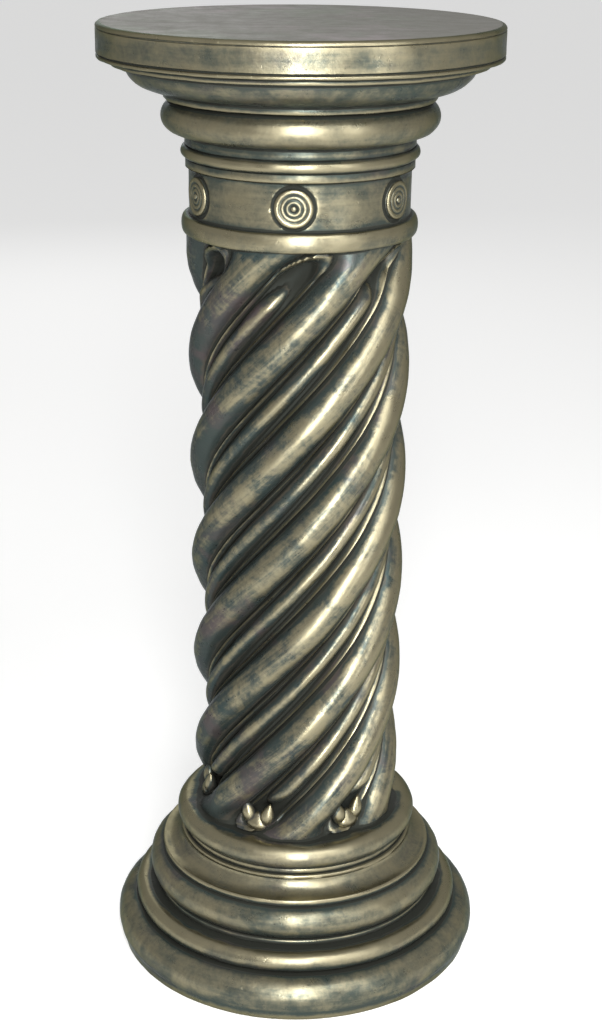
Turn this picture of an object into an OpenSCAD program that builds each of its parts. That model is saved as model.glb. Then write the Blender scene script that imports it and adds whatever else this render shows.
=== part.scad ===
// Round pedestal column: a moulded base, a twisted shaft and a round capital.
// Millimetres, +Z up. The origin is the centre of the underside. The three castings meet
// on two flat discs, hidden inside the ring at the foot of the shaft and the collar at its head.

/* [Foot] */
// Radius of the bottom roll at its widest
foot_r = 152.5; // [140:0.5:190]
// Height of the bottom roll
foot_h = 34; // [26:1:44]
// How far the bottom roll tucks in where it meets the floor
foot_tuck = 4; // [1:0.5:8]
// Radius of the second roll
low_roll_r = 136.5; // [126:0.5:145]
// Height of the second roll
low_roll_h = 16; // [10:1:22]
// Radius of the recess between the second and the third roll
recess_r = 118; // [110:0.5:125]
// Height of that recess
recess_h = 4.5; // [2:0.5:8]
// Radius of the third roll
mid_roll_r = 124; // [119:0.5:135]
// Height of the third roll
mid_roll_h = 28; // [18:1:36]
// Radius of the fillet on the third roll
fillet_r = 113; // [106:0.5:118]
// Height of that fillet
fillet_h = 5.5; // [3:0.5:9]
// Height of the hollow above the fillet
scotia_h = 10; // [6:0.5:16]
// Radius of the narrow fillet above the hollow
band_r = 97; // [93:0.5:102]
// Height of the narrow fillet
band_h = 3.5; // [2:0.5:6]
// Radius of the groove under the shaft ring
foot_groove_r = 94; // [90:0.5:96]
// Height of that groove
foot_groove_h = 4.5; // [2:0.5:8]
// How far the ring at the foot of the shaft stands out past the strands
ring_lip = 15.5; // [10:0.5:24]
// Height of that ring
ring_h = 19.5; // [12:0.5:26]

/* [Shaft] */
// Height of the twisted shaft between the two rings
shaft_h = 482; // [240:1:700]
// Radius over the strands at the foot of the shaft
shaft_r_foot = 84.5; // [70:0.5:88]
// Radius over the strands at the head of the shaft
shaft_r_head = 86.5; // [70:0.5:88]
// Depth from the top of a strand to the floor of a channel
channel_depth = 19.5; // [8:0.5:26]
// Number of strands round the shaft
strand_count = 6; // [4:1:8]
// Height that a strand climbs in one full turn
lead = 502; // [300:1:900]
// Part of a strand's pitch that its round back fills
strand_share = 0.56; // [0.4:0.01:0.6]
// Part of a strand's pitch that the reed in the channel fills
reed_share = 0.24; // [0.12:0.01:0.26]
// Place of the reed, as a part of the pitch from one strand's middle to the next
reed_place = 0.48; // [0.44:0.01:0.5]
// How far the reed stands up from the channel floor
reed_h = 8; // [2:0.5:14]
// Length of the rounded closing of each channel at both ends
stop_len = 16; // [6:1:30]

/* [Head] */
// How far the collar at the head of the shaft stands out past the strands
collar_lip = 3.5; // [3:0.5:12]
// Height of the collar
collar_h = 14; // [8:0.5:20]
// How far the collar bulges past its two edges
collar_sag = 3; // [1:0.5:5]
// Radius of the plain neck
neck_r = 84; // [76:0.5:86]
// Height of the plain neck
neck_h = 36; // [30:0.5:60]
// Radius of the fillet over the neck
neck_fillet_r = 86.5; // [85:0.5:90]
// Height of that fillet
neck_fillet_h = 6.5; // [3:0.5:10]
// Radius of the small bead
bead_r = 90; // [88:0.5:98]
// Height of the small bead
bead_h = 9.5; // [6:0.5:14]
// Radius of the groove over the bead
head_groove_r = 87; // [82:0.5:90]
// Height of that groove
head_groove_h = 9; // [3:0.5:14]
// Radius of the large round moulding
echinus_r = 104.5; // [99:0.5:115]
// Height of the large round moulding
echinus_h = 25; // [14:0.5:34]
// Radius of the fillet over the round moulding
cap_fillet_r = 102; // [96:0.5:110]
// Height of that fillet
cap_fillet_h = 6; // [3:0.5:9]
// Radius of the quarter round at its top
ovolo_r = 130; // [114:0.5:136]
// Height of the quarter round
ovolo_h = 18.5; // [10:0.5:26]
// Radius of the fillet under the top slab
slab_fillet_r = 140.5; // [134:0.5:145]
// Height of that fillet
slab_fillet_h = 4.5; // [2:0.5:8]
// Radius of the round top slab
slab_r = 150.5; // [146:0.5:190]
// Height of the round top slab
slab_h = 25.5; // [14:0.5:40]
// Radius of the rounding on the slab's two edges
slab_round = 4; // [1:0.5:6]

/* [Bosses] */
// Number of round bosses on the neck
boss_count = 6; // [3:1:10]
// Radius of a boss
boss_r = 14; // [8:0.5:15]
// How far a boss stands out from the neck
boss_out = 3; // [1:0.5:6]
// Turn of the first boss from the front
boss_turn = -3; // [-30:1:30]

/* [Hidden] */
$fn = 96;
arc_steps = 8;
ring_steps = 46;
bronze = [0.45, 0.44, 0.35];
boss_root = 6;
strand_turn = -93;

// Heights of the mouldings, from the floor up
low_roll_z = foot_h;
recess_z = low_roll_z + low_roll_h;
mid_roll_z = recess_z + recess_h;
fillet_z = mid_roll_z + mid_roll_h;
scotia_z = fillet_z + fillet_h;
band_z = scotia_z + scotia_h;
foot_groove_z = band_z + band_h;
ring_z = foot_groove_z + foot_groove_h;
shaft_z = ring_z + ring_h;
collar_z = shaft_z + shaft_h;
neck_z = collar_z + collar_h;
neck_fillet_z = neck_z + neck_h;
bead_z = neck_fillet_z + neck_fillet_h;
head_groove_z = bead_z + bead_h;
echinus_z = head_groove_z + head_groove_h;
cap_fillet_z = echinus_z + echinus_h;
ovolo_z = cap_fillet_z + cap_fillet_h;
slab_fillet_z = ovolo_z + ovolo_h;
slab_z = slab_fillet_z + slab_fillet_h;
top_z = slab_z + slab_h;

pitch = 360 / strand_count;

// The ring and the collar follow the shaft that stands between them
ring_r = shaft_r_foot + ring_lip;
collar_r = shaft_r_head + collar_lip;

// Points on an ellipse arc about centre c, from angle a to angle b
function arc(c, rx, ry, a, b) =
    [for (i = [0:arc_steps]) let (t = a + (b - a) * i / arc_steps) c + [rx * cos(t), ry * sin(t)]];

// A round moulding from z up to z + h that reaches radius r and is sag deep
function roll(z, h, r, sag) = arc([r - sag, z + h / 2], sag, h / 2, -90, 90);

// A flat step from z up to z + h at radius r
function step(z, h, r) = [[r, z], [r, z + h]];

function base_outline() = concat(
    [[0, 0], [foot_r - foot_tuck, 0]],
    arc([foot_r - foot_h / 2, foot_h / 2], foot_h / 2, foot_h / 2, -30, 90),
    roll(low_roll_z, low_roll_h, low_roll_r, low_roll_h / 2),
    step(recess_z, recess_h, recess_r),
    roll(mid_roll_z, mid_roll_h, mid_roll_r, mid_roll_h / 2),
    step(fillet_z, fillet_h, fillet_r),
    arc([fillet_r, band_z], fillet_r - band_r, scotia_h, -90, -180),
    step(band_z, band_h, band_r),
    step(foot_groove_z, foot_groove_h, foot_groove_r),
    roll(ring_z, ring_h, ring_r, ring_h / 2),
    [[0, shaft_z]]);

function capital_outline() = concat(
    [[0, collar_z]],
    roll(collar_z, collar_h, collar_r, collar_sag),
    step(neck_z, neck_h, neck_r),
    step(neck_fillet_z, neck_fillet_h, neck_fillet_r),
    roll(bead_z, bead_h, bead_r, bead_h / 2),
    step(head_groove_z, head_groove_h, head_groove_r),
    roll(echinus_z, echinus_h, echinus_r, echinus_h / 2),
    step(cap_fillet_z, cap_fillet_h, cap_fillet_r),
    arc([cap_fillet_r, slab_fillet_z], ovolo_r - cap_fillet_r, ovolo_h, -90, 0),
    step(slab_fillet_z, slab_fillet_h, slab_fillet_r),
    arc([slab_r - slab_round, slab_z + slab_round], slab_round, slab_round, -90, 0),
    arc([slab_r - slab_round, top_z - slab_round], slab_round, slab_round, 0, 90),
    [[0, top_z]]);

// Share of a pitch at which each point of the section sits, from one strand's middle to the next
function section_shares() = let (s = strand_share / 2, m = reed_place, q = reed_share / 2)
    [0, s * 0.5, s * 0.84, s, m - q, m - q * 0.4, m + q * 0.4, m + q, 1 - s, 1 - s * 0.84, 1 - s * 0.5];

// Rise over the channel floor at share u of a pitch: a round strand, then a reed
function section_rise(u) =
    let (v = min(u, 1 - u) / (strand_share / 2), w = abs(u - reed_place) / (reed_share / 2))
    v < 1 ? channel_depth * sqrt(1 - v * v) : w < 1 ? reed_h * sqrt(1 - w * w) : 0;

// How far a channel is filled at height z, from 0 in the run of it to 1 at its two ends
function stop_fill(z) = pow(max(0, 1 - min(z - shaft_z, collar_z - z) / stop_len), 2);

function shaft_radius(u, z) =
    let (over = shaft_r_foot + (shaft_r_head - shaft_r_foot) * (z - shaft_z) / shaft_h)
    over - (channel_depth - section_rise(u)) * (1 - 0.8 * stop_fill(z));

// Height of ring k: the rings stand closer together at the two ends
function ring_height(k) = shaft_z + shaft_h * (k / ring_steps - 0.1 * sin(360 * k / ring_steps) / 2);

// Angle of the first strand's middle at height z
function strand_angle(z) = strand_turn + 360 * (z - shaft_z) / lead;

module twisted_solid() {
    shares = section_shares();
    around = len(shares) * strand_count;
    points = [for (k = [0:ring_steps]) let (z = ring_height(k))
        for (n = [0:strand_count - 1])
            for (u = shares)
                let (a = strand_angle(z) + pitch * (n + u), r = shaft_radius(u, z))
                [r * cos(a), r * sin(a), z]];
    sides = [for (k = [0:ring_steps - 1])
        for (i = [0:around - 1])
            let (j = (i + 1) % around, low = k * around, high = low + around)
            each [[low + i, high + j, low + j], [low + i, high + i, high + j]]];
    underside = [for (i = [0:around - 1]) i];
    upside = [for (i = [around - 1:-1:0]) ring_steps * around + i];
    polyhedron(points, concat([underside], sides, [upside]));
}

// A round boss of rings about a button, standing on the plane z = 0
module boss() {
    rotate_extrude() polygon(concat(
        [[0, -boss_root], [boss_r, -boss_root]],
        arc([boss_r * 0.83, boss_out * 0.6], boss_r * 0.17, boss_out * 0.4, 0, 180),
        arc([boss_r * 0.42, boss_out * 0.5], boss_r * 0.12, boss_out * 0.35, 0, 180),
        arc([0, boss_out * 0.5], boss_r * 0.22, boss_out * 0.6, 0, 90)));
}

module bosses() {
    for (k = [0:boss_count - 1])
        rotate([0, 0, boss_turn - 90 + 360 / boss_count * k])
            translate([neck_r, 0, neck_z + neck_h / 2])
                rotate([0, 90, 0])
                    boss();
}

module base() {
    color(bronze) rotate_extrude() polygon(base_outline());
}

module shaft() {
    color(bronze) twisted_solid();
}

module capital() {
    color(bronze) {
        rotate_extrude() polygon(capital_outline());
        bosses();
    }
}

base();
shaft();
capital();
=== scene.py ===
import math
import bpy
import numpy as np
from mathutils import Euler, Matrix, Quaternion, Vector, noise
from mathutils.bvhtree import BVHTree


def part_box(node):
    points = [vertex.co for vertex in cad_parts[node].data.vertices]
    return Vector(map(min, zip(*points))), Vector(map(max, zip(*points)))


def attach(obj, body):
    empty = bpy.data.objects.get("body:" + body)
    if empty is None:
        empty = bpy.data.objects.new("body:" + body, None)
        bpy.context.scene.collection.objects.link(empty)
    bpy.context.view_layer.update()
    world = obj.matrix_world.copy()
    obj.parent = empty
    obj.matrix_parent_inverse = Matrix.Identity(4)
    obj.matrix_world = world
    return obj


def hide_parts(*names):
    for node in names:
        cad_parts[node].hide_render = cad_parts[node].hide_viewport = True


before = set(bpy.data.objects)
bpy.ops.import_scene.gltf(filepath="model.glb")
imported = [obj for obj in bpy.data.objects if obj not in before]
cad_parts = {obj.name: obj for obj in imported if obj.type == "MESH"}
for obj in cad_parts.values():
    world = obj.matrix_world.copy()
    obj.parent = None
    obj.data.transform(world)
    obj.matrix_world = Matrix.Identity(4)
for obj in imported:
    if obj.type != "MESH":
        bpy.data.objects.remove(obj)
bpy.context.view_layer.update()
mm = 0.001
fullTurn = 2 * math.pi
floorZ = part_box("base")[0].z
shaftFootZ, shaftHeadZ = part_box("shaft")[0].z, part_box("shaft")[1].z
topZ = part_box("capital")[1].z
print("frame loaded, column", round(topZ - floorZ, 4), "m tall")


# A value in a node tree that adds, multiplies and compares like a number
class Formula:
    def __init__(self, tree, socket):
        self.tree = tree
        self.socket = socket

    def node(self, kind, *values):
        made = self.tree.nodes.new("ShaderNodeMath")
        made.operation = kind
        for slot, value in zip(made.inputs, values):
            feed(self.tree, slot, value)
        return Formula(self.tree, made.outputs[0])

    def __add__(self, other):
        return self.node("ADD", self, other)

    def __radd__(self, other):
        return self.node("ADD", other, self)

    def __sub__(self, other):
        return self.node("SUBTRACT", self, other)

    def __rsub__(self, other):
        return self.node("SUBTRACT", other, self)

    def __mul__(self, other):
        return self.node("MULTIPLY", self, other)

    def __truediv__(self, other):
        return self.node("DIVIDE", self, other)

    def least(self, other):
        return self.node("MINIMUM", self, other)

    def most(self, other):
        return self.node("MAXIMUM", self, other)

    def size(self):
        return self.node("ABSOLUTE", self)

    def root(self):
        return self.node("SQRT", self)

    def power(self, other):
        return self.node("POWER", self, other)

    def sine(self):
        return self.node("SINE", self)

    def cosine(self):
        return self.node("COSINE", self)

    def fraction(self):
        return self.node("FRACT", self)

    def dome(self):  # 1 at 0, falling as a quarter circle to 0 at 1 and past it
        return (1 - self * self).most(0).root()

    def clamped(self):
        return self.most(0).least(1)


def feed(tree, slot, value):  # links a formula or a socket into the slot, or sets a number or a colour there
    if isinstance(value, Formula):
        tree.links.new(value.socket, slot)
    elif isinstance(value, bpy.types.NodeSocket):
        tree.links.new(value, slot)
    elif isinstance(value, tuple):
        slot.default_value = value + (1,)
    else:
        slot.default_value = value


def enabledSlots(sockets):  # a mix node keeps a hidden set of sockets for each kind of value
    return [slot for slot in sockets if slot.enabled]


def splitVector(tree, vector):
    parts = tree.nodes.new("ShaderNodeSeparateXYZ")
    tree.links.new(vector, parts.inputs[0])
    return [Formula(tree, part) for part in parts.outputs]


def joinVector(tree, values):
    joined = tree.nodes.new("ShaderNodeCombineXYZ")
    for slot, value in zip(joined.inputs, values):
        feed(tree, slot, value)
    return joined.outputs[0]


def addSockets(tree, wanted, way="INPUT"):
    for label, (kind, value) in wanted.items():
        socket = tree.interface.new_socket(label, in_out=way, socket_type="NodeSocket" + kind)
        if value is not None:
            socket.default_value = value


def setInputs(modifier, values):
    identifiers = {item.name: item.identifier for item in modifier.node_group.interface.items_tree
                   if item.in_out == "INPUT"}
    for label, value in values.items():
        modifier[identifiers[label]] = value


def newObject(name, vertices, faces):
    mesh = bpy.data.meshes.new(name)
    mesh.from_pydata(vertices, [], faces)
    thing = bpy.data.objects.new(name, mesh)
    bpy.context.scene.collection.objects.link(thing)
    return thing


def readVertices(mesh):
    numbers = np.empty(len(mesh.vertices) * 3)
    mesh.vertices.foreach_get("co", numbers)
    return numbers.reshape(-1, 3)


def builtMesh(carrier, name):  # the modifiers' result as a plain mesh
    graph = bpy.context.evaluated_depsgraph_get()
    mesh = bpy.data.meshes.new_from_object(carrier.evaluated_get(graph), depsgraph=graph)
    mesh.name = name
    return mesh


# Points on an ellipse arc, as (radius, height)
def arc(centre, across, up, start, stop, steps):
    turns = [math.radians(start + (stop - start) * i / steps) for i in range(steps + 1)]
    return [(centre[0] + across * math.cos(a), centre[1] + up * math.sin(a)) for a in turns]


# A round moulding between two heights that reaches a radius: a half circle, or as deep as sag says
def roll(low, high, reach, sag=None):
    half = (high - low) / 2
    deep = sag or half
    return arc((reach - deep, (low + high) / 2), deep, half, -90, 90, 16)


# A flat step with softened edges
def flat(low, high, reach, soft=0.7):
    return [(reach - soft, low)] + upright(low + soft, high - soft, reach) + [(reach - soft, high)]


def upright(low, high, reach):
    furthest = 3  # between one point and the next
    steps = max(1, math.ceil((high - low) / furthest))
    return [(reach, low + (high - low) * i / steps) for i in range(steps + 1)]


# A line scribed into an upright face
def scribed(height, reach, deep):
    mouth, bottom = deep * 0.8, 0.15
    return [(reach, height - mouth), (reach - deep, height - bottom), (reach - deep, height + bottom),
            (reach, height + mouth)]


# Turns an outline, listed from the axis below to the axis above, into a closed solid
def turned(name, outline, around):
    vertices = [(0, 0, outline[0][1] * mm)]
    for radius, height in outline[1:-1]:
        for i in range(around):
            a = fullTurn * i / around
            vertices.append((radius * mm * math.cos(a), radius * mm * math.sin(a), height * mm))
    vertices.append((0, 0, outline[-1][1] * mm))
    starts = [1 + k * around for k in range(len(outline) - 2)]
    faces = []
    for i in range(around):
        j = (i + 1) % around
        faces.append((0, 1 + j, 1 + i))
        faces += [(low + i, low + j, high + j, high + i) for low, high in zip(starts, starts[1:])]
        faces.append((starts[-1] + i, starts[-1] + j, len(vertices) - 1))
    return newObject(name, vertices, faces)


# Heights are measured up from the underside for the base and down from the top for the capital, in mm
baseSizes = {
    "footRadius": 152.5, "footHeight": 34, "footTuck": 4, "footEdge": 1.5, "footEdgeRise": 1.2, "footRim": 20,
    "lowRollRadius": 136.5, "lowRollTop": 50,
    "recessRadius": 118, "recessTop": 54.5,
    "midRollRadius": 124, "midRollTop": 82.5,
    "filletRadius": 113, "filletTop": 88,
    "scotiaStep": 1, "bandRadius": 97, "bandLow": 98, "bandTop": 101.5, "bandEdge": 0.6,
    "grooveRadius": 94, "grooveTop": 106,
    "ringRadius": 100, "ringFloor": (88, 86, 84, 81),
    "around": 160,
}


def baseOutline(s):
    ringTop = (shaftFootZ - floorZ) / mm
    half = s["footHeight"] / 2
    tuck = s["footRadius"] - s["footTuck"]
    scotiaReach = s["filletRadius"] - s["scotiaStep"]
    return ([(0, 0), (tuck - s["footRim"], 0), (tuck - s["footEdge"], 0), (tuck, s["footEdgeRise"])]
            + arc((s["footRadius"] - half, half), half, half, -32, 90, 18)
            + roll(s["footHeight"], s["lowRollTop"], s["lowRollRadius"])
            + flat(s["lowRollTop"], s["recessTop"], s["recessRadius"])
            + roll(s["recessTop"], s["midRollTop"], s["midRollRadius"])
            + flat(s["midRollTop"], s["filletTop"], s["filletRadius"])
            + arc((scotiaReach, s["bandLow"]), scotiaReach - s["bandRadius"], s["bandLow"] - s["filletTop"],
                  -90, -180, 10)
            + flat(s["bandLow"], s["bandTop"], s["bandRadius"], s["bandEdge"])
            + flat(s["bandTop"], s["grooveTop"], s["grooveRadius"], s["bandEdge"])
            + roll(s["grooveTop"], ringTop, s["ringRadius"])
            + [(radius, ringTop) for radius in s["ringFloor"] + (0,)])


capitalSizes = {
    "slabRadius": 150.5, "slabHeight": 25.5, "slabRound": 3.6, "roundFlatness": 0.7, "slabBead": 3.2,
    "lowLine": 1.1, "lowLineGap": 0.4, "highLine": 0.7, "lineSpace": (3, 2), "slabRim": (3, 40),
    "slabFilletRadius": 140.5, "slabFilletLow": 30,
    "ovoloRadius": 130, "ovoloLow": 48.5, "ovoloStep": 0.6,
    "filletRadius": 102, "filletLow": 54.5,
    "echinusRadius": 104.5, "echinusLow": 79.5,
    "grooveRadius": 87, "grooveLow": 88.5,
    "beadRadius": 90, "beadLow": 98,
    "neckFilletRadius": 86.5, "neckFilletLow": 104.5,
    "neckRadius": 84, "neckLow": 140.5, "neckStep": 0.4, "neckCove": 2.5,
    "collarRadius": 90, "collarSag": 3, "collarFloor": 80,
    "around": 160,
}


def capitalOutline(s):
    top = (topZ - floorZ) / mm
    collarLow = (shaftHeadZ - floorZ) / mm
    up = {name: top - s[name] for name in s if name.endswith("Low")}
    slabLow = top - s["slabHeight"]
    coveLow = up["neckFilletLow"] - s["neckCove"]
    beadHalf = s["slabBead"] / 2
    beadTop = slabLow + s["slabBead"]
    cornerRadius = s["slabRadius"] - s["slabRound"]
    cornerRise = s["slabRound"] * s["roundFlatness"]
    ovoloOut = s["ovoloRadius"] - s["filletRadius"]
    ovoloRise = s["ovoloLow"] - s["slabFilletLow"] - s["ovoloStep"]
    return ([(0, collarLow), (s["collarFloor"], collarLow)]
            + roll(collarLow, up["neckLow"], s["collarRadius"], s["collarSag"])
            + upright(up["neckLow"] + s["neckStep"], coveLow, s["neckRadius"])
            + arc((s["neckFilletRadius"], coveLow), s["neckFilletRadius"] - s["neckRadius"], s["neckCove"],
                  180, 90, 5)
            + flat(up["neckFilletLow"], up["beadLow"], s["neckFilletRadius"])
            + roll(up["beadLow"], up["grooveLow"], s["beadRadius"])
            + flat(up["grooveLow"], up["echinusLow"], s["grooveRadius"])
            + roll(up["echinusLow"], up["filletLow"], s["echinusRadius"])
            + flat(up["filletLow"], up["ovoloLow"], s["filletRadius"])
            + arc((s["filletRadius"], up["slabFilletLow"] - s["ovoloStep"]), ovoloOut, ovoloRise, -90, 0, 16)
            + flat(up["slabFilletLow"], slabLow, s["slabFilletRadius"])
            + arc((s["slabRadius"] - beadHalf, slabLow + beadHalf), beadHalf, beadHalf, -90, 60, 8)
            + scribed(beadTop + s["lowLineGap"], s["slabRadius"], s["lowLine"])
            + upright(beadTop + s["lineSpace"][0], top - s["slabRound"] - s["lineSpace"][1], s["slabRadius"])
            + scribed(top - s["slabRound"], s["slabRadius"], s["highLine"])
            + arc((cornerRadius, top - cornerRise), s["slabRound"], cornerRise, 8, 90, 8)
            + [(cornerRadius - inwards, top) for inwards in s["slabRim"]] + [(0, top)])


base = turned("baseTurning", baseOutline(baseSizes), baseSizes["around"])
capital = turned("capitalTurning", capitalOutline(capitalSizes), capitalSizes["around"])
print("mouldings turned")

# Shares are parts of the pitch between two strands, and lengths are in metres
shaftSizes = {
    "Foot Height": shaftFootZ,
    "Head Height": shaftHeadZ,
    "Embed": 4 * mm,
    "Foot Radius": 84.5 * mm,
    "Head Radius": 86.5 * mm,
    "Channel Depth": 19.5 * mm,
    "Strands": 6,
    "Lead": 502 * mm,
    "Turn": math.radians(-93),
    "Strand Share": 0.262,
    "Fillet Share": 0.297,
    "Fillet Half Width": 0.034,
    "Fillet Height": 7.5 * mm,
    "Rim Swell": 1.3,
    "Reed Share": 0.485,
    "Reed Half Width": 0.13,
    "Reed Height": 10 * mm,
    "Head Stop": 22 * mm,
    "Head Margin": 2 * mm,
    "Foot Stop": 16 * mm,
    "Foot Margin": 1 * mm,
    "Reed Head Stop": 44 * mm,
    "Reed Head Margin": 29 * mm,
    "Reed Foot Stop": 36 * mm,
    "Reed Foot Margin": 20 * mm,
    "Hollow Depth": 9 * mm,
    "Columns": 324,
    "Rows": 128,
}


def twistedShaftTree():
    tree = bpy.data.node_groups.new("twistedShaft", "GeometryNodeTree")
    whole = ("Strands", "Columns", "Rows")
    addSockets(tree, {label: ("Int" if label in whole else "Float", value)
                      for label, value in shaftSizes.items()})
    addSockets(tree, {"Material": ("Material", None)})
    addSockets(tree, {"Geometry": ("Geometry", None)}, "OUTPUT")
    entry = tree.nodes.new("NodeGroupInput")
    size = {label: Formula(tree, entry.outputs[label]) for label in shaftSizes}

    tube = tree.nodes.new("GeometryNodeMeshCylinder")
    tube.fill_type = "NGON"
    tree.links.new(entry.outputs["Columns"], tube.inputs["Vertices"])
    tree.links.new(entry.outputs["Rows"], tube.inputs["Side Segments"])
    tube.inputs["Radius"].default_value = 1
    tube.inputs["Depth"].default_value = 1
    x, y, z = splitVector(tree, tree.nodes.new("GeometryNodeInputPosition").outputs[0])

    along = z + 0.5
    crowded = along - (along * fullTurn).sine() * (0.5 / fullTurn)  # rows lie closer at both ends
    low = size["Foot Height"] - size["Embed"]
    height = low + (size["Head Height"] + size["Embed"] - low) * crowded
    plainTurn = x.node("ARCTAN2", y, x)
    share = (plainTurn * size["Strands"] / fullTurn + 2).fraction()

    toHead = size["Head Height"] - height
    toFoot = height - size["Foot Height"]

    # 0 along a channel's or a reed's run, rising to 1 where it has closed
    def closing(part):
        atHead = (size[part + "Head Stop"] - toHead) / (size[part + "Head Stop"] - size[part + "Head Margin"])
        atFoot = (size[part + "Foot Stop"] - toFoot) / (size[part + "Foot Stop"] - size[part + "Foot Margin"])
        return atHead.most(atFoot).most(0)

    channelHalf = 0.5 - size["Strand Share"]
    ends = closing("")
    across = (share - 0.5).size() / channelHalf
    reach = (across * across + ends * ends).root()
    fromStrand = (0.5 - reach * channelHalf).most(0)
    strandFullness = 0.92
    strand = size["Channel Depth"] * (fromStrand / size["Strand Share"]).least(1).dome().power(strandFullness)
    swell = 1 + size["Rim Swell"] * ends.least(1)
    filletAcross = (fromStrand - size["Fillet Share"]) / (size["Fillet Half Width"] * swell)
    fillet = size["Fillet Height"] * swell * filletAcross.dome()
    reedEnds = closing("Reed ")
    reedAcross = (share - size["Reed Share"]) / size["Reed Half Width"]
    reed = size["Reed Height"] * (reedAcross * reedAcross + reedEnds * reedEnds).root().dome()
    hollowSlope = 0.8
    hollow = size["Hollow Depth"] * (reedEnds * hollowSlope).least(1) * (1 - reach * reach).most(0)
    rise = strand.most(fillet).most(reed) - hollow

    crest = size["Foot Radius"] + (size["Head Radius"] - size["Foot Radius"]) * toFoot / (toFoot + toHead)
    radius = crest - size["Channel Depth"] + rise
    turn = plainTurn + size["Turn"] + toFoot * fullTurn / size["Lead"]
    shaped = tree.nodes.new("GeometryNodeSetPosition")
    tree.links.new(tube.outputs["Mesh"], shaped.inputs["Geometry"])
    tree.links.new(joinVector(tree, (radius * turn.cosine(), radius * turn.sine(), height)),
                   shaped.inputs["Position"])
    finishTree(tree, entry, shaped.outputs[0])
    return tree


def finishTree(tree, entry, geometry):  # every tree ends with real geometry and its material
    real = tree.nodes.new("GeometryNodeRealizeInstances")
    painted = tree.nodes.new("GeometryNodeSetMaterial")
    leave = tree.nodes.new("NodeGroupOutput")
    tree.links.new(geometry, real.inputs[0])
    tree.links.new(real.outputs[0], painted.inputs["Geometry"])
    tree.links.new(entry.outputs["Material"], painted.inputs["Material"])
    tree.links.new(painted.outputs[0], leave.inputs[0])


def treeObject(name, tree, values):
    carrier = newObject(name, [], [])
    modifier = carrier.modifiers.new(name, "NODES")
    modifier.node_group = tree
    setInputs(modifier, values)
    return carrier


shaft = treeObject("shaftTwist", twistedShaftTree(), shaftSizes)
print("shaft twisted")


# Sets copies of one part in a ring, each with its own +Z turned outwards and its own +X turned down
def ringOfPartsTree():
    tree = bpy.data.node_groups.new("ringOfParts", "GeometryNodeTree")
    addSockets(tree, {"Part": ("Object", None), "Count": ("Int", 6), "Ring Radius": ("Float", 0.1),
                      "Height": ("Float", 0.0), "Turn": ("Float", 0.0), "Material": ("Material", None)})
    addSockets(tree, {"Geometry": ("Geometry", None)}, "OUTPUT")
    entry = tree.nodes.new("NodeGroupInput")
    part = tree.nodes.new("GeometryNodeObjectInfo")
    tree.links.new(entry.outputs["Part"], part.inputs[0])
    points = tree.nodes.new("GeometryNodePoints")
    tree.links.new(entry.outputs["Count"], points.inputs["Count"])
    index = Formula(tree, tree.nodes.new("GeometryNodeInputIndex").outputs[0])
    count, start, radius = (Formula(tree, entry.outputs[label]) for label in ("Count", "Turn", "Ring Radius"))
    turn = index * fullTurn / count + start
    spot = joinVector(tree, (radius * turn.cosine(), radius * turn.sine(), entry.outputs["Height"]))
    tree.links.new(spot, points.inputs["Position"])
    copies = tree.nodes.new("GeometryNodeInstanceOnPoints")
    tree.links.new(points.outputs[0], copies.inputs["Points"])
    tree.links.new(part.outputs["Geometry"], copies.inputs["Instance"])
    tree.links.new(joinVector(tree, (0, math.pi / 2, turn)), copies.inputs["Rotation"])
    finishTree(tree, entry, copies.outputs[0])
    return tree


ringTree = ringOfPartsTree()

# A raised ring's middle and half width are parts of the radius, its foot and rise are parts of the height
# out, and then come the angles of its arc and the steps along it
bossSizes = {"radius": 14.2, "root": 7, "out": 3.2, "count": 6, "turn": math.radians(-93), "around": 56,
             "side": 0.1,
             "rings": [(0.85, 0.15, 0.42, 0.5, -30, 150, 8), (0.57, 0.11, 0.6, 0.26, 10, 170, 6),
                       (0.32, 0.1, 0.62, 0.26, 10, 170, 6), (0, 0.17, 0.58, 0.5, 5, 90, 5)],
             "grooveWidth": 3, "grooveDepth": 1.1, "grooveOverlap": 0.6, "grooveSlope": 1,
             "grooveFlare": 0.4, "grooveMouth": 0.6}


def bossOutline(s):
    r, out = s["radius"], s["out"]
    outline = [(0, -s["root"]), (r, -s["root"]), (r, out * s["side"])]
    for middle, half, foot, rise, start, stop, steps in s["rings"]:
        outline += arc((r * middle, out * foot), r * half, out * rise, start, stop, steps)
    return outline


def bossGrooveOutline(s):  # the ring that is cut round each boss
    inner, outer, lip = s["radius"] - s["grooveOverlap"], s["radius"] + s["grooveWidth"], s["grooveFlare"]
    return [(0, -s["root"]), (inner, -s["root"]), (inner, -s["grooveDepth"]),
            (outer - s["grooveSlope"], -s["grooveDepth"]), (outer + lip, s["grooveMouth"]),
            (outer + lip, s["out"]), (0, s["out"])]


def bent(part, radius):  # wraps a flat part, whose +Z faces out, round an upright cylinder
    points = readVertices(part.data)
    turn = points[:, 1] / radius
    out = radius + points[:, 2]
    points[:, 1], points[:, 2] = out * np.sin(turn), out * np.cos(turn) - radius
    part.data.vertices.foreach_set("co", points.ravel())
    return part


def ringOfParts(name, part, count, radius, height, turn):
    return treeObject(name, ringTree, {"Part": part, "Count": count, "Ring Radius": radius,
                                       "Height": height, "Turn": turn})


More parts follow.
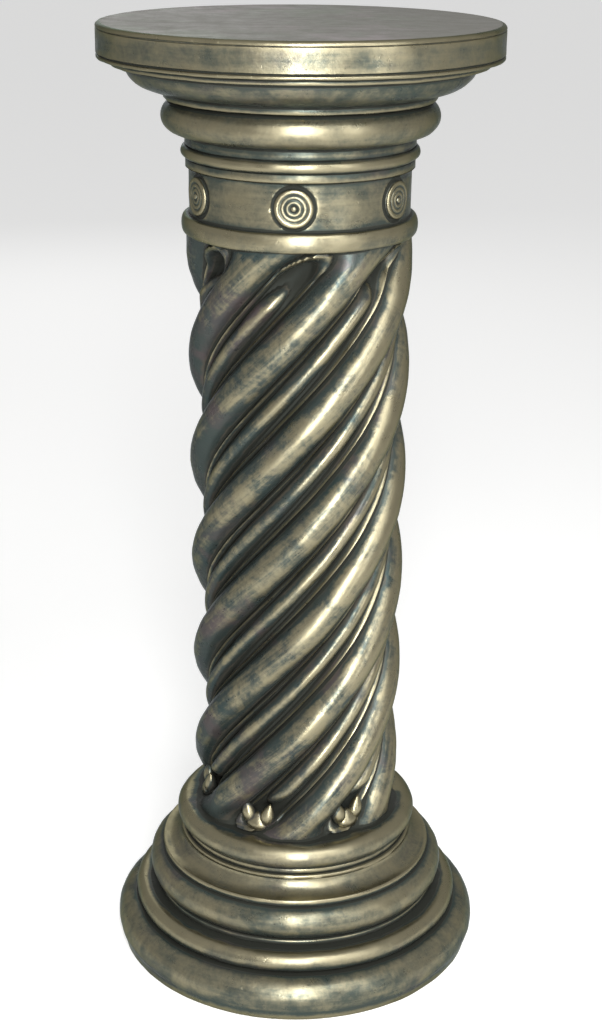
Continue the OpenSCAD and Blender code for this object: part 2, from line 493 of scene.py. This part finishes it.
neckRadius = capitalSizes["neckRadius"] * mm
neckMiddle = topZ - (capitalSizes["neckLow"] + capitalSizes["neckFilletLow"]) / 2 * mm
bossPart = bent(turned("bossPart", bossOutline(bossSizes), bossSizes["around"]), neckRadius)
groovePart = bent(turned("groovePart", bossGrooveOutline(bossSizes), bossSizes["around"]), neckRadius)
bosses = ringOfParts("bossRing", bossPart, bossSizes["count"], neckRadius, neckMiddle, bossSizes["turn"])
grooves = ringOfParts("grooveRing", groovePart, bossSizes["count"], neckRadius, neckMiddle, bossSizes["turn"])
print("bosses set")

# The tulip bud that a reed grows from, as petals of (across, up, lean, width, length, depth)
budSizes = {"share": 0.43, "ringRadius": 72.5, "middle": 17 * mm, "outline": 9, "around": 14,
            "fullness": 0.9, "footWidth": 1.1, "taper": 0.35,
            "petals": [(0, -3, 0, 22, 21, 15), (-5.5, 3, 14, 13, 25, 12), (5.5, 3, -14, 13, 25, 12)]}


def petal(s, across, up, lean, width, length, depth):
    steps = s["outline"]
    outline = []
    for i in range(steps + 1):
        swell = math.sin(math.pi * i / steps) ** s["fullness"] * (s["footWidth"] - s["taper"] * i / steps)
        outline.append((width / 2 * swell, length * i / steps))
    shape = turned("petal", outline, s["around"])
    points = readVertices(shape.data)
    sideways, upwards, outwards = points[:, 0].copy(), points[:, 2].copy(), points[:, 1] * depth / width
    a = math.radians(lean)
    leaned = sideways * math.cos(a) - upwards * math.sin(a)
    risen = sideways * math.sin(a) + upwards * math.cos(a)
    # An open fault: this order of axes mirrors the petal, so its faces point inwards
    points = np.stack([-(risen + up * mm), leaned + across * mm, outwards], axis=1)
    shape.data.vertices.foreach_set("co", points.ravel())
    return shape


def budTurn(s):
    pitch = fullTurn / shaftSizes["Strands"]
    return shaftSizes["Turn"] + pitch * s["share"] + fullTurn * s["middle"] / shaftSizes["Lead"]


budParts = [petal(budSizes, *values) for values in budSizes["petals"]]
buds = [ringOfParts("budRing%d" % i, part, shaftSizes["Strands"], budSizes["ringRadius"] * mm, shaftFootZ,
                    budTurn(budSizes)) for i, part in enumerate(budParts)]
print("buds set")


# Joins the turned, twisted and ringed parts as in one casting. The petals are inside out, so the union leaves
# nearly all of them as closed shells of their own
def castTogether(name, parts, cutters):
    tree = bpy.data.node_groups.new("castTogether", "GeometryNodeTree")
    labels = {"Part %d" % i: part for i, part in enumerate(parts)}
    cutLabels = {"Cutter %d" % i: part for i, part in enumerate(cutters)}
    addSockets(tree, {label: ("Object", None) for label in list(labels) + list(cutLabels)})
    addSockets(tree, {"Material": ("Material", None)})
    addSockets(tree, {"Geometry": ("Geometry", None)}, "OUTPUT")
    entry = tree.nodes.new("NodeGroupInput")

    def shapeOf(label):
        info = tree.nodes.new("GeometryNodeObjectInfo")
        tree.links.new(entry.outputs[label], info.inputs[0])
        return info.outputs["Geometry"]

    def boolean(kind, shapes):
        node = tree.nodes.new("GeometryNodeMeshBoolean")
        node.operation = kind
        node.solver = "MANIFOLD"
        for shape in shapes:
            tree.links.new(shape, node.inputs["Mesh 2"])
        return node

    cut = boolean("DIFFERENCE", [shapeOf(label) for label in cutLabels])
    tree.links.new(shapeOf("Part 0"), cut.inputs["Mesh 1"])
    union = boolean("UNION", [shapeOf(label) for label in list(labels)[1:]] + [cut.outputs["Mesh"]])
    finishTree(tree, entry, union.outputs["Mesh"])
    carrier = treeObject(name, tree, {**labels, **cutLabels})
    carrier.data = builtMesh(carrier, name)
    carrier.modifiers.clear()
    for part in parts + cutters:
        bpy.data.objects.remove(part)
    return carrier


column = castTogether("column", [capital, base, shaft, bosses] + buds, [grooves])
for part in [bossPart, groovePart] + budParts:
    bpy.data.objects.remove(part)
print("cast together:", len(column.data.vertices), "vertices,",
      sum(len(face.vertices) - 2 for face in column.data.polygons), "triangles")


# Small unevenness of a hand-finished casting
castingSizes = {"swellSize": 60 * mm, "swell": 0.55 * mm, "dentSize": 14 * mm, "dent": 0.34 * mm,
                "calm": 1.5 * mm}


def roughen(mesh, s):
    points = readVertices(mesh)
    normals = np.array([tuple(v.normal) for v in mesh.vertices])
    moved = np.array([noise.noise(Vector(p) / s["swellSize"]) * s["swell"]
                      + noise.noise(Vector(p) / s["dentSize"]) * s["dent"] for p in points])
    # The top and the underside stay flat
    calm = np.minimum(np.abs(points[:, 2] - topZ), np.abs(points[:, 2] - floorZ))
    moved *= np.clip(calm / s["calm"], 0, 1)
    points += normals * moved[:, None]
    mesh.vertices.foreach_set("co", points.ravel())
    mesh.update()


roughen(column.data, castingSizes)

# Where the skin is closed in by what stands round it, and where it stands proud (radii and reaches in mm)
reliefSizes = {
    "turns": 540, "heights": 600, "directions": 12, "leastRadius": 30, "flatRadius": 50,
    "recessReaches": (2, 4, 7, 11, 16), "fineReaches": (1.6, 2.6), "broadReaches": (5, 8),
    "belowShaft": 3, "aboveShaft": 1, "jointRise": 1.7, "mouldingShare": 0.3,
    "proudReach": 13, "proudDrop": 13, "mouldingDrop": 0.15,
    "headProud": 1.2, "footProud": 0.82, "scotiaPaintedHighlight": 1.9,
    "shaftUnderShade": 0.15, "mouldingUnderShade": 0.75,
    "budRise": 13, "budReach": 15, "budFade": 3, "budRub": 1.4, "budRadius": 70,
}


class RadiusMap:  # the column's radius by turn and height, read between its cells
    def __init__(self, mesh, s):
        points = readVertices(mesh)
        skin = BVHTree.FromPolygons([tuple(p) for p in points], [tuple(f.vertices) for f in mesh.polygons])
        self.turns, self.heights = s["turns"], s["heights"]
        self.step = (topZ - floorZ) / self.heights
        self.grid = np.zeros((self.turns, self.heights))
        far = 0.5
        for i in range(self.turns):
            a = fullTurn * i / self.turns
            inward = Vector((-math.cos(a), -math.sin(a), 0))
            for k in range(self.heights):
                start = Vector((0, 0, floorZ + (k + 0.5) * self.step)) - inward * far
                hit = skin.ray_cast(start, inward, far)
                self.grid[i, k] = far - hit[3] if hit[0] else 0

    def read(self, turn, height):
        a = (turn / fullTurn % 1) * self.turns
        h = np.clip((height - floorZ) / self.step - 0.5, 0, self.heights - 1.001)
        i, k = a.astype(int) % self.turns, h.astype(int)
        p, q = a - a.astype(int), h - k
        j, m = (i + 1) % self.turns, k + 1
        low = self.grid[i, k] * (1 - p) + self.grid[j, k] * p
        high = self.grid[i, m] * (1 - p) + self.grid[j, m] * p
        value = low * (1 - q) + high * q
        outside = (height > topZ) | (height < floorZ)
        return np.where(outside, 0, value)


def highest(grid, cells, axis):  # the largest value within so many cells
    out = grid.copy()
    for n in range(1, cells + 1):
        out = np.maximum(out, np.maximum(np.roll(grid, n, axis), np.roll(grid, -n, axis)))
    return out


# How far each point stands out towards the highest skin near it, from 1 downwards
def standing(mesh, s, radiusMap, turn, radius, height, onShaft):
    cell = fullTurn * shaftSizes["Head Radius"] / s["turns"]
    around, along = round(s["proudReach"] * mm / cell), round(s["proudReach"] * mm / radiusMap.step)
    rows = floorZ + (np.arange(radiusMap.heights) + 0.5) * radiusMap.step
    shaftRows = (rows > shaftFootZ) & (rows < shaftHeadZ)
    drops = []
    # The strands aren't measured from the two rings
    for grid in (radiusMap.grid, radiusMap.grid * shaftRows):
        radiusMap.grid = highest(highest(grid, around, 0), along, 1)
        drops.append((radiusMap.read(turn, height) - radius) / (s["proudDrop"] * mm))
    drop = np.clip(np.where(onShaft, drops[1], drops[0]), 0, 1)
    moulded = np.where(height > shaftHeadZ, s["headProud"], s["footProud"])
    # The scotia is given extra rubbed gold as a painted highlight
    scotiaLow, scotiaHigh = (floorZ + baseSizes[name] * mm for name in ("filletTop", "grooveTop"))
    moulded[(height > scotiaLow) & (height < scotiaHigh)] = s["scotiaPaintedHighlight"]
    proud = np.where(onShaft, 1 - drop, moulded - drop * s["mouldingDrop"])
    # What faces down gets less rubbed gold and a little more of the dark recess colours: painted shade on the
    # downward faces
    down = np.clip([-v.normal.z for v in mesh.vertices], 0, 1)
    proud -= down * np.where(onShaft, s["shaftUnderShade"], s["mouldingUnderShade"])
    # The buds were rubbed as bright as the crests
    pitch = fullTurn / shaftSizes["Strands"]
    aside = (turn - budTurn(budSizes) + pitch / 2) % pitch - pitch / 2
    far = np.hypot(aside * radius, height - shaftFootZ - s["budRise"] * mm) / mm
    nearBud = np.clip((s["budReach"] - far) / s["budFade"], 0, 1) * (radius > s["budRadius"] * mm)
    return proud + onShaft * s["budRub"] * nearBud


def storeRelief(mesh, s):
    radiusMap = RadiusMap(mesh, s)
    points = readVertices(mesh)
    height = points[:, 2]
    radius = np.hypot(points[:, 0], points[:, 1])
    turn = np.arctan2(points[:, 1], points[:, 0])
    safe = np.maximum(radius, s["leastRadius"] * mm)
    half = s["directions"] // 2

    def rises(reach):  # the angle up to the skin at that reach, for each direction
        for n in range(s["directions"]):
            a = math.pi * n / half
            other = radiusMap.read(turn + math.cos(a) * reach * mm / safe, height + math.sin(a) * reach * mm)
            yield n, np.arctan2(other - radius, reach * mm)

    # How closed in each point is, measured like ambient occlusion; where this darkens the colour, it is
    # partly painted shade
    horizon = np.full((s["directions"], len(points)), -math.pi / 2)
    closed = []
    for reach in s["recessReaches"]:
        for n, rise in rises(reach):
            horizon[n] = np.maximum(horizon[n], rise)
        closed.append((np.maximum(horizon[:half] + horizon[half:], 0) / math.pi).mean(axis=0))
    # The mouldings take less of the recess measure than the shaft, but for their tight joints; the darkening
    # it brings stands partly for shade
    onShaft = (height > shaftFootZ - s["belowShaft"] * mm) & (height < shaftHeadZ + s["aboveShaft"] * mm)
    wiped = np.maximum(closed[1] * s["jointRise"], closed[-1] * s["mouldingShare"])
    layers = {"recess": np.where(onShaft, closed[-1], wiped)}
    for label in ("fine", "broad"):
        total = sum(-rise for reach in s[label + "Reaches"] for n, rise in rises(reach))
        layers[label + "Crest"] = total / s["directions"] / len(s[label + "Reaches"]) / (math.pi / 2)
    layers["proud"] = standing(mesh, s, radiusMap, turn, radius, height, onShaft)
    for label, value in layers.items():
        value[radius < s["flatRadius"] * mm] = 0
        layer = mesh.attributes.new(label, "FLOAT", "POINT")
        layer.data.foreach_set("value", value.astype(np.float32))
        print(label, "at 5, 50, 80 and 95 parts in 100:", np.round(np.percentile(value, (5, 50, 80, 95)), 2))


storeRelief(column.data, reliefSizes)
print("relief stored")


def newShaderGroup(name, takes, gives):
    group = bpy.data.node_groups.new(name, "ShaderNodeTree")
    addSockets(group, takes)
    addSockets(group, gives, "OUTPUT")
    return group, group.nodes.new("NodeGroupInput"), group.nodes.new("NodeGroupOutput")


def noiseValue(tree, vector, scale, detail, roughness, distortion=0.0):
    node = tree.nodes.new("ShaderNodeTexNoise")
    node.inputs["Detail"].default_value = detail
    node.inputs["Roughness"].default_value = roughness
    node.inputs["Distortion"].default_value = distortion
    feed(tree, node.inputs["Scale"], scale)
    feed(tree, node.inputs["Vector"], vector)
    return Formula(tree, node.outputs[0])


def smoothBetween(value, low, high):
    node = value.tree.nodes.new("ShaderNodeMapRange")
    node.interpolation_type = "SMOOTHSTEP"
    node.inputs["From Min"].default_value = low
    node.inputs["From Max"].default_value = high
    value.tree.links.new(value.socket, node.inputs["Value"])
    return Formula(value.tree, node.outputs[0])


def mixColour(tree, amount, first, second):
    node = tree.nodes.new("ShaderNodeMix")
    node.data_type = "RGBA"
    for slot, value in zip(enabledSlots(node.inputs), (amount, first, second)):
        feed(tree, slot, value)
    return enabledSlots(node.outputs)[0]


# Brush lines that run up the strands on the shaft and round the mouldings elsewhere
def brushGroup():
    group, entry, leave = newShaderGroup(
        "brushLines",
        {"Vector": ("Vector", None), "Lead": ("Float", 0.5), "Low": ("Float", 0.1), "High": ("Float", 0.6),
         "Scale": ("Float", 160.0), "Stretch": ("Float", 0.09)},
        {"Value": ("Float", None), "Twisted": ("Float", None)})
    x, y, z = splitVector(group, entry.outputs["Vector"])
    lead, stretch, low, high = (Formula(group, entry.outputs[label])
                                for label in ("Lead", "Stretch", "Low", "High"))
    turn = z * -fullTurn / lead
    twisted = z.node("GREATER_THAN", z, low) * z.node("LESS_THAN", z, high)
    untwisted = (x * turn.cosine() - y * turn.sine(), x * turn.sine() + y * turn.cosine(), z * stretch)
    picked = group.nodes.new("ShaderNodeMix")
    picked.data_type = "VECTOR"
    choices = (twisted, joinVector(group, (x * stretch, y * stretch, z)), joinVector(group, untwisted))
    for slot, value in zip(enabledSlots(picked.inputs), choices):
        feed(group, slot, value)
    lines = noiseValue(group, enabledSlots(picked.outputs)[0], entry.outputs["Scale"], 5, 0.62, 0.3)
    feed(group, leave.inputs["Value"], lines)
    feed(group, leave.inputs["Twisted"], twisted)
    return group


# How much each measure adds to or takes from the rubbed gold, the grime and painted shade, and the stain,
# and the range over which each of the three comes in
wearWeights = {
    "specks": 260, "patch": 1.5, "speck": 0.5, "brush": 0.9, "everywhere": 0.6, "shaftOnly": 0.4,
    "rub": {"proud": 0.5, "fine": 2.3, "broad": 1.2, "broken": 1.45, "range": (0.2, 1.0)},
    "grime_and_shade": {"recess": 1.15, "fine": 1.4, "proud": 0.15, "broken": 0.35, "range": (0.3, 0.5)},
    "stain": {"recess": 1.5, "fine": 0.8, "proud": 0.25, "broken": 0.9, "range": (0.2, 0.65)},
}


# Rubbed crests, grime and painted shade in the recesses, and painted light on one side of the shaft, broken
# up by patches, specks and brush lines
def wearGroup(w):
    group, entry, leave = newShaderGroup(
        "rubAndGrime",
        {"Vector": ("Vector", None), "Recess": ("Float", 0.0), "Fine Crest": ("Float", 0.0),
         "Broad Crest": ("Float", 0.0), "Proud": ("Float", 0.0), "Brush": ("Float", 0.5),
         "Twisted": ("Float", 1.0), "Patch Scale": ("Float", 42.0), "Painted Light Side": ("Float", 0.0)},
        {"Rub": ("Float", None), "Grime_and_shade": ("Float", None), "Stain": ("Float", None)})
    vector = entry.outputs["Vector"]
    recess, fine, broad, proud, brush, twisted, paintedLightSide = (
        Formula(group, entry.outputs[label]) for label in
        ("Recess", "Fine Crest", "Broad Crest", "Proud", "Brush", "Twisted", "Painted Light Side"))
    # The shaft is given more rubbed gold on its +X side and less on its -X side: painted light falling from
    # one side
    paintedSideLight = splitVector(group, vector)[0] * paintedLightSide * twisted
    patches = noiseValue(group, vector, entry.outputs["Patch Scale"], 6, 0.66, 0.5) - 0.5
    specks = noiseValue(group, vector, w["specks"], 4, 0.6, 0.3) - 0.5
    broken = ((patches * w["patch"] + specks * w["speck"] + (brush - 0.5) * w["brush"])
              * (w["everywhere"] + twisted * w["shaftOnly"]))
    r = w["rub"]
    crests = proud * r["proud"] + fine.most(0) * r["fine"] + broad.most(0) * r["broad"]
    rub = smoothBetween(crests - recess + broken * r["broken"] + paintedSideLight, *r["range"])
    feed(group, leave.inputs["Rub"], rub)
    # Both masks follow the recesses; the first, with its near-black colour, is partly dirt and partly painted
    # shade
    for label in ("grime_and_shade", "stain"):
        k = w[label]
        depth = recess * k["recess"] - fine * k["fine"] - proud * k["proud"] - broken * k["broken"]
        feed(group, leave.inputs[label.capitalize()], smoothBetween(depth, *k["range"]))
    return group


# Soft clouds of two tints laid over a colour
def tintGroup():
    group, entry, leave = newShaderGroup(
        "cloudedTint",
        {"Vector": ("Vector", None), "Colour": ("Color", (0.2, 0.2, 0.15, 1)),
         "First Tint": ("Color", (0.1, 0.15, 0.14, 1)), "Second Tint": ("Color", (0.2, 0.15, 0.16, 1)),
         "Amount": ("Float", 0.5), "Scale": ("Float", 14.0)},
        {"Colour": ("Color", None)})
    moved = group.nodes.new("ShaderNodeVectorMath")
    moved.inputs[1].default_value = (3.1, 1.7, 5.3)
    feed(group, moved.inputs[0], entry.outputs["Vector"])
    colour = entry.outputs["Colour"]
    for label, vector, low, high in (("First Tint", entry.outputs["Vector"], 0.48, 0.68),
                                     ("Second Tint", moved.outputs[0], 0.5, 0.7)):
        clouds = smoothBetween(noiseValue(group, vector, entry.outputs["Scale"], 5, 0.6, 0.6), low, high)
        amount = clouds * Formula(group, entry.outputs["Amount"])
        colour = mixColour(group, amount, colour, entry.outputs[label])
    feed(group, leave.inputs["Colour"], colour)
    return group


# Lumps, pits and grain of the painted casting, as a height and a roughness shift
def grainGroup():
    group, entry, leave = newShaderGroup(
        "castGrain", {"Vector": ("Vector", None), "Brush": ("Float", 0.5)},
        {"Height": ("Float", None), "Shift": ("Float", None)})
    vector = entry.outputs["Vector"]
    brush = Formula(group, entry.outputs["Brush"])
    lumps = noiseValue(group, vector, 75, 4, 0.55)
    grain = noiseValue(group, vector, 480, 4, 0.65)
    pits = smoothBetween(noiseValue(group, vector, 230, 2, 0.5), 0.66, 0.78)
    height = lumps * 0.9 + grain * 0.3 + brush * 0.25 - pits * 0.4
    shift = (grain - 0.5) * 0.22 + (lumps - 0.5) * 0.35 + (brush - 0.5) * 0.25 + pits * 0.15
    feed(group, leave.inputs["Height"], height)
    feed(group, leave.inputs["Shift"], shift)
    return group


groups = {"brush": brushGroup(), "wear": wearGroup(wearWeights), "tint": tintGroup(), "grain": grainGroup()}


def placeGroup(tree, label, values):
    node = tree.nodes.new("ShaderNodeGroup")
    node.node_tree = groups[label]
    for name, value in values.items():
        feed(tree, node.inputs[name], value)
    return node


def clouded(tree, vector, colour, look):
    return placeGroup(tree, "tint", {"Vector": vector, "Colour": colour, "First Tint": look["firstTint"],
                                     "Second Tint": look["secondTint"], "Amount": look["tintAmount"],
                                     "Scale": look["tintScale"]}).outputs[0]


def newMaterial(name):
    material = bpy.data.materials.new(name)
    material.use_nodes = True
    tree = material.node_tree
    tree.nodes.clear()
    shader = tree.nodes.new("ShaderNodeBsdfPrincipled")
    leave = tree.nodes.new("ShaderNodeOutputMaterial")
    tree.links.new(shader.outputs[0], leave.inputs[0])
    return material, tree, shader


def attributeValue(tree, name):
    node = tree.nodes.new("ShaderNodeAttribute")
    node.attribute_name = name
    return Formula(tree, node.outputs["Fac"])


def raised(tree, shader, height, distance, strength):  # height is a socket, distance in metres
    bump = tree.nodes.new("ShaderNodeBump")
    bump.inputs["Strength"].default_value = strength
    bump.inputs["Distance"].default_value = distance
    tree.links.new(height, bump.inputs["Height"])
    tree.links.new(bump.outputs[0], shader.inputs["Normal"])


bronzeLook = {
    "ground": (0.022, 0.023, 0.019), "stain": (0.080, 0.067, 0.050), "stainAmount": 0.8,
    "middle": (0.045, 0.056, 0.052), "olive": (0.055, 0.064, 0.050), "gold": (0.235, 0.211, 0.138),
    "firstTint": (0.030, 0.047, 0.047), "secondTint": (0.088, 0.068, 0.068),
    "tintAmount": 0.8, "tintScale": 17.0, "tinted": 0.65, "tintedOnShaft": 0.35,
    "edgeTint": (0.20, 0.26, 0.27), "specularLevel": 0.25,
    "brushScale": 150.0, "brushStretch": 0.09, "patchScale": 32.0, "paintedLightSide": 3.2,
    "metal": 0.6, "metalRubbed": 0.35, "metalStained": 0.2, "metalGrimeAndShade": 0.42,
    "roughness": 0.345, "roughGrimeAndShade": 0.2, "roughStained": 0.06,
    "bump": 0.4 * mm, "bumpStrength": 0.6,
}


def antiqueBronze(look):
    material, tree, shader = newMaterial("antiqueBronze")
    vector = tree.nodes.new("ShaderNodeTexCoord").outputs["Object"]
    brushed = placeGroup(tree, "brush", {"Vector": vector, "Lead": shaftSizes["Lead"], "Low": shaftFootZ,
                                         "High": shaftHeadZ, "Scale": look["brushScale"],
                                         "Stretch": look["brushStretch"]})
    brush, twisted = brushed.outputs["Value"], brushed.outputs["Twisted"]
    relief = {"Recess": "recess", "Fine Crest": "fineCrest", "Broad Crest": "broadCrest", "Proud": "proud"}
    wear = placeGroup(tree, "wear", {**{label: attributeValue(tree, name) for label, name in relief.items()},
                                     "Vector": vector, "Brush": brush, "Twisted": twisted,
                                     "Patch Scale": look["patchScale"], "Painted Light Side": look["paintedLightSide"]})
    rub, grime_and_shade, stain = (Formula(tree, wear.outputs[label]) for label in ("Rub", "Grime_and_shade", "Stain"))
    grain = placeGroup(tree, "grain", {"Vector": vector, "Brush": brush})
    tinted = clouded(tree, vector, look["middle"], look)
    amount = Formula(tree, twisted) * look["tintedOnShaft"] + look["tinted"]
    colour = mixColour(tree, amount, look["olive"], tinted)
    colour = mixColour(tree, rub, colour, look["gold"])
    colour = mixColour(tree, stain * look["stainAmount"], colour, look["stain"])
    # The near-black ground colour in the recesses and tight joints is partly dirt and partly painted shade
    colour = mixColour(tree, grime_and_shade, colour, look["ground"])
    feed(tree, shader.inputs["Base Color"], colour)
    lost = stain * look["metalStained"] + grime_and_shade * look["metalGrimeAndShade"]
    metal = look["metal"] + rub * look["metalRubbed"] - lost
    feed(tree, shader.inputs["Metallic"], metal.clamped())
    rough = look["roughness"] + grime_and_shade * look["roughGrimeAndShade"] + stain * look["roughStained"]
    feed(tree, shader.inputs["Roughness"], (rough + Formula(tree, grain.outputs["Shift"])).clamped())
    shader.inputs["Specular Tint"].default_value = look["edgeTint"] + (1,)
    shader.inputs["Specular IOR Level"].default_value = look["specularLevel"]
    raised(tree, shader, grain.outputs["Height"], look["bump"], look["bumpStrength"])
    return material


dullLook = {
    "ground": (0.09, 0.09, 0.07), "pale": (0.128, 0.124, 0.107),
    "firstTint": (0.14, 0.155, 0.12), "secondTint": (0.21, 0.18, 0.18), "tintAmount": 0.7, "tintScale": 12.0,
    "strokes": (12, 70, 12), "strokeShare": 0.4,
    "stainScale": 26, "stainRange": (0.5, 0.7), "stainAmount": 0.55,
    "metal": 0.25, "roughness": 0.60, "bump": 0.3 * mm, "bumpStrength": 0.5,
}


# The top and the underside: the same paint gone dull, with no rubbed crests
def dullBronze(look):
    material, tree, shader = newMaterial("dullBronze")
    vector = tree.nodes.new("ShaderNodeTexCoord").outputs["Object"]
    strokes = tree.nodes.new("ShaderNodeMapping")
    strokes.inputs["Scale"].default_value = look["strokes"]
    feed(tree, strokes.inputs[0], vector)
    brush = noiseValue(tree, strokes.outputs[0], 1.0, 4, 0.6, 0.8)
    grain = placeGroup(tree, "grain", {"Vector": vector, "Brush": brush})
    tinted = clouded(tree, vector, look["pale"], look)
    marks = noiseValue(tree, vector, look["stainScale"], 6, 0.68, 0.8) + (brush - 0.5) * look["strokeShare"]
    stains = smoothBetween(marks, *look["stainRange"]) * look["stainAmount"]
    feed(tree, shader.inputs["Base Color"], mixColour(tree, stains, tinted, look["ground"]))
    rough = look["roughness"] + Formula(tree, grain.outputs["Shift"])
    feed(tree, shader.inputs["Roughness"], rough.clamped())
    shader.inputs["Metallic"].default_value = look["metal"]
    raised(tree, shader, grain.outputs["Height"], look["bump"], look["bumpStrength"])
    return material


def dressColumn(thing):
    mesh = thing.data
    mesh.materials.clear()
    mesh.materials.append(antiqueBronze(bronzeLook))
    mesh.materials.append(dullBronze(dullLook))
    inner = (capitalSizes["slabRadius"] - capitalSizes["slabRound"]) * mm
    slack = 0.3 * mm
    creaseAngle = math.radians(50)
    for face in mesh.polygons:
        x, y, z = face.center
        level = min(abs(z - topZ), abs(z - floorZ)) < slack
        face.material_index = 1 if level and math.hypot(x, y) < inner else 0
    mesh.shade_smooth()
    mesh.set_sharp_from_angle(angle=creaseAngle)


dressColumn(column)
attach(column, "root")
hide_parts("base", "shaft", "capital")
print("column dressed")

# Floor, light and camera
studio = {"floorRadius": 30.0, "floorSides": 96, "floorColour": (0.72, 0.72, 0.71), "floorGlow": 0.5,
          "floorRoughness": 0.9, "floorSpecular": 0.1,
          "worldLevel": 0.25, "skyLevel": 0.58,
          "keyPlace": (0.05, -1.65, 0.9), "keySize": (0.3, 1.7), "keyPower": 52,
          "topPlace": (0.5, -1.3, 2.1), "topSize": (1.1, 0.7), "topPower": 19,
          "fillPlace": (1.25, -1.45, 1.0), "fillSize": (0.4, 1.8), "fillPower": 13,
          "backPlace": (-0.5, 2.6, 1.4), "backSize": (0.9, 1.4), "backPower": 6}


def paleFloor(s):
    turns = [fullTurn * i / s["floorSides"] for i in range(s["floorSides"])]
    ring = [(s["floorRadius"] * math.cos(a), s["floorRadius"] * math.sin(a), floorZ) for a in turns]
    ground = newObject("floor", ring, [tuple(range(len(ring)))])
    material, tree, shader = newMaterial("paleFloor")
    shader.inputs["Base Color"].default_value = s["floorColour"] + (1,)
    shader.inputs["Roughness"].default_value = s["floorRoughness"]
    shader.inputs["Specular IOR Level"].default_value = s["floorSpecular"]
    shader.inputs["Emission Color"].default_value = (1, 1, 1, 1)
    feed(tree, shader.inputs["Emission Strength"], backgroundRays(tree) * s["floorGlow"])
    ground.data.materials.append(material)


def softLight(name, place, size, power):
    lamp = bpy.data.lights.new(name, "AREA")
    lamp.shape = "RECTANGLE"
    lamp.size, lamp.size_y = size
    lamp.energy = power
    thing = bpy.data.objects.new(name, lamp)
    thing.location = place
    aim = Vector((0, 0, (floorZ + topZ) / 2))
    thing.rotation_euler = (aim - Vector(place)).to_track_quat("-Z", "Y").to_euler()
    bpy.context.scene.collection.objects.link(thing)


def backgroundRays(tree):  # 1 for the rays that see the white background, in reflections and glass too
    path = tree.nodes.new("ShaderNodeLightPath")
    camera, glossy, clear = (Formula(tree, path.outputs["Is %s Ray" % kind])
                             for kind in ("Camera", "Glossy", "Transmission"))
    return camera.most(glossy).most(clear)


# Even light from all round
def paleWorld(level, sky):
    world = bpy.data.worlds.new("studio")
    bpy.context.scene.world = world
    world.use_nodes = True
    tree = world.node_tree
    tree.nodes.clear()
    glow = tree.nodes.new("ShaderNodeBackground")
    glow.inputs["Color"].default_value = (1, 1, 1, 1)
    feed(tree, glow.inputs["Strength"], backgroundRays(tree) * (sky - level) + level)
    leave = tree.nodes.new("ShaderNodeOutputWorld")
    tree.links.new(glow.outputs[0], leave.inputs[0])


# The camera stands in front of the column and looks down on it
view = {"distance": 1.3738, "height": 0.88185, "pitch": 20.107, "yaw": -0.11, "roll": 0.45,
        "lens": 63.91, "sensor": 36, "clipEnd": 50}


def placeCamera(v):
    lens = bpy.data.cameras.new("camera")
    lens.lens = v["lens"]
    lens.sensor_width = v["sensor"]
    lens.clip_end = v["clipEnd"]
    thing = bpy.data.objects.new("camera", lens)
    thing.location = (0, -v["distance"], floorZ + v["height"])
    aimed = Euler((math.radians(90 - v["pitch"]), 0, math.radians(v["yaw"]))).to_quaternion()
    thing.rotation_mode = "QUATERNION"
    thing.rotation_quaternion = aimed @ Quaternion((0, 0, 1), math.radians(v["roll"]))
    bpy.context.scene.collection.objects.link(thing)
    bpy.context.scene.camera = thing


paleFloor(studio)
paleWorld(studio["worldLevel"], studio["skyLevel"])
for lamp in ("key", "top", "fill", "back"):
    softLight(lamp + "Light", studio[lamp + "Place"], studio[lamp + "Size"], studio[lamp + "Power"])
placeCamera(view)
bpy.context.scene.view_settings.view_transform = "Standard"
print("studio lit")
